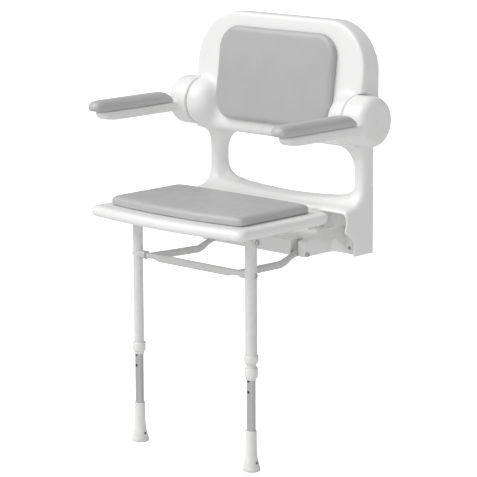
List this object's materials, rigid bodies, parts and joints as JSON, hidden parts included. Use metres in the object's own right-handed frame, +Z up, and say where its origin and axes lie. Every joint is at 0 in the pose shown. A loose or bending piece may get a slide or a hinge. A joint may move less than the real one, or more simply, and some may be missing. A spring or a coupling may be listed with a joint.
{
  "type": "fold-down shower seat",
  "caption": "Wall-mounted fold-down shower chair with padded seat and back rest, lift-up padded arms and telescopic front legs.",
  "frame": {"origin": "centre of the four wall fixing holes, on the wall plane", "axes": "+X to the sitter's left across the seat, -Y out from the wall, +Z up"},
  "size_m": [0.606, 0.4507, 0.972],
  "materials": {
    "shell": "moulded satin white",
    "pad": "soft grey padded vinyl",
    "stud": "moulded",
    "steel": "white powder coat",
    "bolt": "bright zinc",
    "aluminium": "anodised",
    "foot": "white rubber",
    "collar": "moulded white"
  },
  "bodies": {
    "wall_unit": {"back_shell": "shell", "back_cushion": "pad", "cushion_studs": "stud", "wall_sleeves": "bolt", "hinge_bracket_left": "steel", "hinge_bracket_right": "steel", "hinge_pin_left": "bolt", "hinge_pin_right": "bolt", "link_bolt_left": "bolt", "link_bolt_right": "bolt", "arm_axle_left": "bolt", "arm_axle_right": "bolt"},
    "seat": {"seat_shell": "shell", "seat_pad": "pad", "seat_pad_studs": "stud", "seat_rail_left": "steel", "seat_rail_right": "steel", "rail_screws": "bolt", "leg_pivot_bolt_left": "bolt", "leg_pivot_bolt_right": "bolt"},
    "brace": {"link_frame": "steel"},
    "leg_left": {"leg_tube_left": "steel", "leg_cap_left": "shell", "leg_collar_left": "collar", "brace_bush_left": "collar", "brace_bolt_left": "bolt"},
    "foot_left": {"leg_inner_left": "aluminium", "ferrule_left": "foot"},
    "lock_left": {"height_pin_left": "bolt"},
    "arm_left": {"arm_shell_left": "shell", "arm_pad_left": "pad", "hub_cap_left": "shell", "arm_pad_screws_left": "bolt"},
    "leg_right": {"leg_tube_right": "steel", "leg_cap_right": "shell", "leg_collar_right": "collar", "brace_bush_right": "collar", "brace_bolt_right": "bolt", "leg_sleeve_right": "steel", "upper_collar_right": "collar"},
    "foot_right": {"leg_inner_right": "aluminium", "ferrule_right": "foot"},
    "lock_right": {"height_pin_right": "bolt"},
    "arm_right": {"arm_shell_right": "shell", "arm_pad_right": "pad", "hub_cap_right": "shell", "arm_pad_screws_right": "bolt"}
  },
  "joints": [
    {"name": "seat_fold", "type": "hinge", "parent": "wall_unit", "child": "seat", "pos_m": [0, -0.134, 0.029], "axis": [-1, 0, 0], "range_deg": [0, 82]},
    {"name": "brace_fold", "type": "hinge", "parent": "wall_unit", "child": "brace", "pos_m": [0, -0.134, -0.045], "axis": [-1, 0, 0], "range_deg": [0, 82]},
    {"name": "leg_fold_left", "type": "hinge", "parent": "seat", "child": "leg_left", "pos_m": [-0.175, -0.335, 0.017], "axis": [-1, 0, 0], "range_deg": [-82, 0]},
    {"name": "leg_slide_left", "type": "slide", "parent": "leg_left", "child": "foot_left", "axis": [0, 0, 1], "range_m": [-0.05, 0.05]},
    {"name": "lock_press_left", "type": "slide", "parent": "leg_left", "child": "lock_left", "axis": [0, 1, 0], "range_m": [-0.0035, 0]},
    {"name": "arm_lift_left", "type": "hinge", "parent": "wall_unit", "child": "arm_left", "pos_m": [-0.27, -0.0585, 0.259], "axis": [-1, 0, 0], "range_deg": [0, 90]},
    {"name": "leg_fold_right", "type": "hinge", "parent": "seat", "child": "leg_right", "pos_m": [0.175, -0.335, 0.017], "axis": [-1, 0, 0], "range_deg": [-82, 0]},
    {"name": "leg_slide_right", "type": "slide", "parent": "leg_right", "child": "foot_right", "axis": [0, 0, 1], "range_m": [-0.05, 0.05]},
    {"name": "lock_press_right", "type": "slide", "parent": "leg_right", "child": "lock_right", "axis": [0, 1, 0], "range_m": [-0.0035, 0]},
    {"name": "arm_lift_right", "type": "hinge", "parent": "wall_unit", "child": "arm_right", "pos_m": [0.27, -0.0585, 0.259], "axis": [-1, 0, 0], "range_deg": [0, 90]}
  ],
  "couplings": [
    {"joint": "brace_fold", "follows": "seat_fold", "ratio": 1},
    {"joint": "leg_fold_left", "follows": "seat_fold", "ratio": -1},
    {"joint": "leg_fold_right", "follows": "seat_fold", "ratio": -1}
  ]
}
